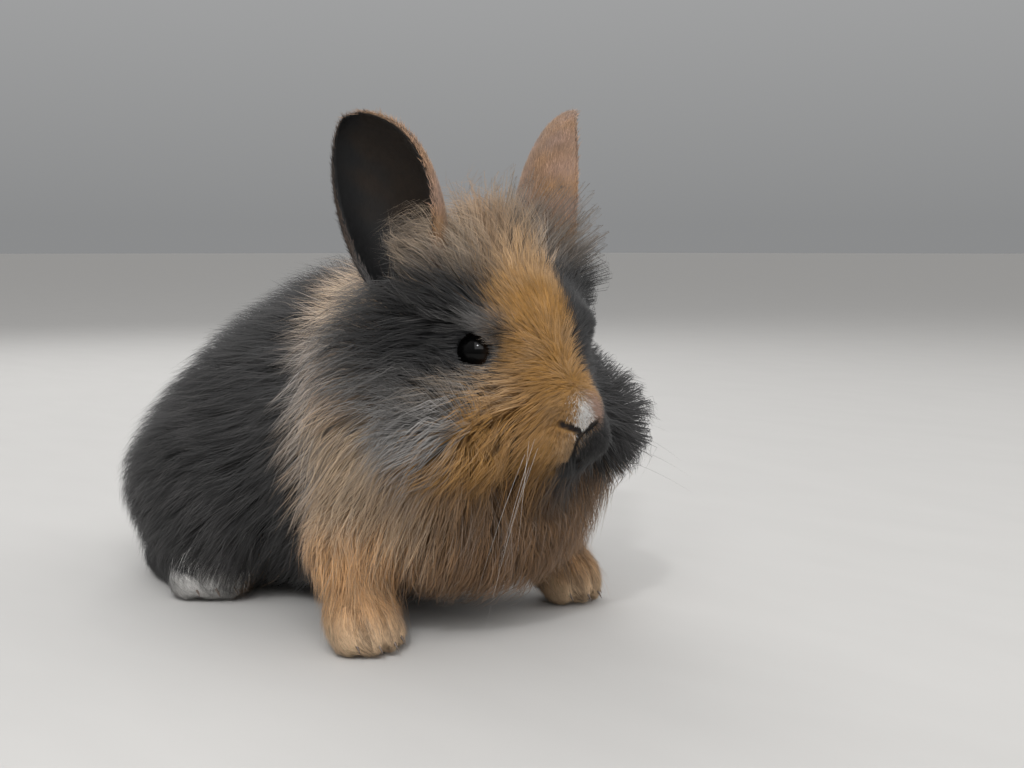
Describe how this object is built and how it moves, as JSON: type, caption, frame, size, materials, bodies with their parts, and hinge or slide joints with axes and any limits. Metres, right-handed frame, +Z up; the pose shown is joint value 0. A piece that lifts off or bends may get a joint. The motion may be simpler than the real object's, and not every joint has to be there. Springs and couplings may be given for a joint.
{
  "type": "dwarf rabbit",
  "caption": "Life-size still model of a long-maned dwarf rabbit sitting alert, head raised, ears up and forefeet set apart.",
  "frame": {"origin": "middle of the bounding box at floor level, under the four feet", "axes": "+Z up, the rabbit faces -Y and its left side is +X; its body from nose to tail lies along Y"},
  "size_m": [0.1181, 0.2217, 0.1578],
  "materials": {
    "face_coat": "short grey and orange fur, longer and dark grey on the cheeks",
    "mane_coat": "long soft cream and orange wool",
    "body_coat": "dense slate grey fur",
    "foot_coat": "short pale fur",
    "leg_coat": "short orange fawn fur",
    "ear_coat": "fine short fur over thin skin, dark inside the cup",
    "eye": "wet and near black"
  },
  "bodies": {
    "root": {"head": "face_coat", "neck": "mane_coat", "torso": "body_coat", "tail": "body_coat", "haunch_left": "body_coat", "haunch_right": "body_coat", "hind_foot_left": "foot_coat", "hind_foot_right": "foot_coat", "fore_leg_left": "leg_coat", "fore_leg_right": "leg_coat", "ear_left": "ear_coat", "ear_right": "ear_coat", "eye_left": "eye", "eye_right": "eye"}
  },
  "joints": []
}
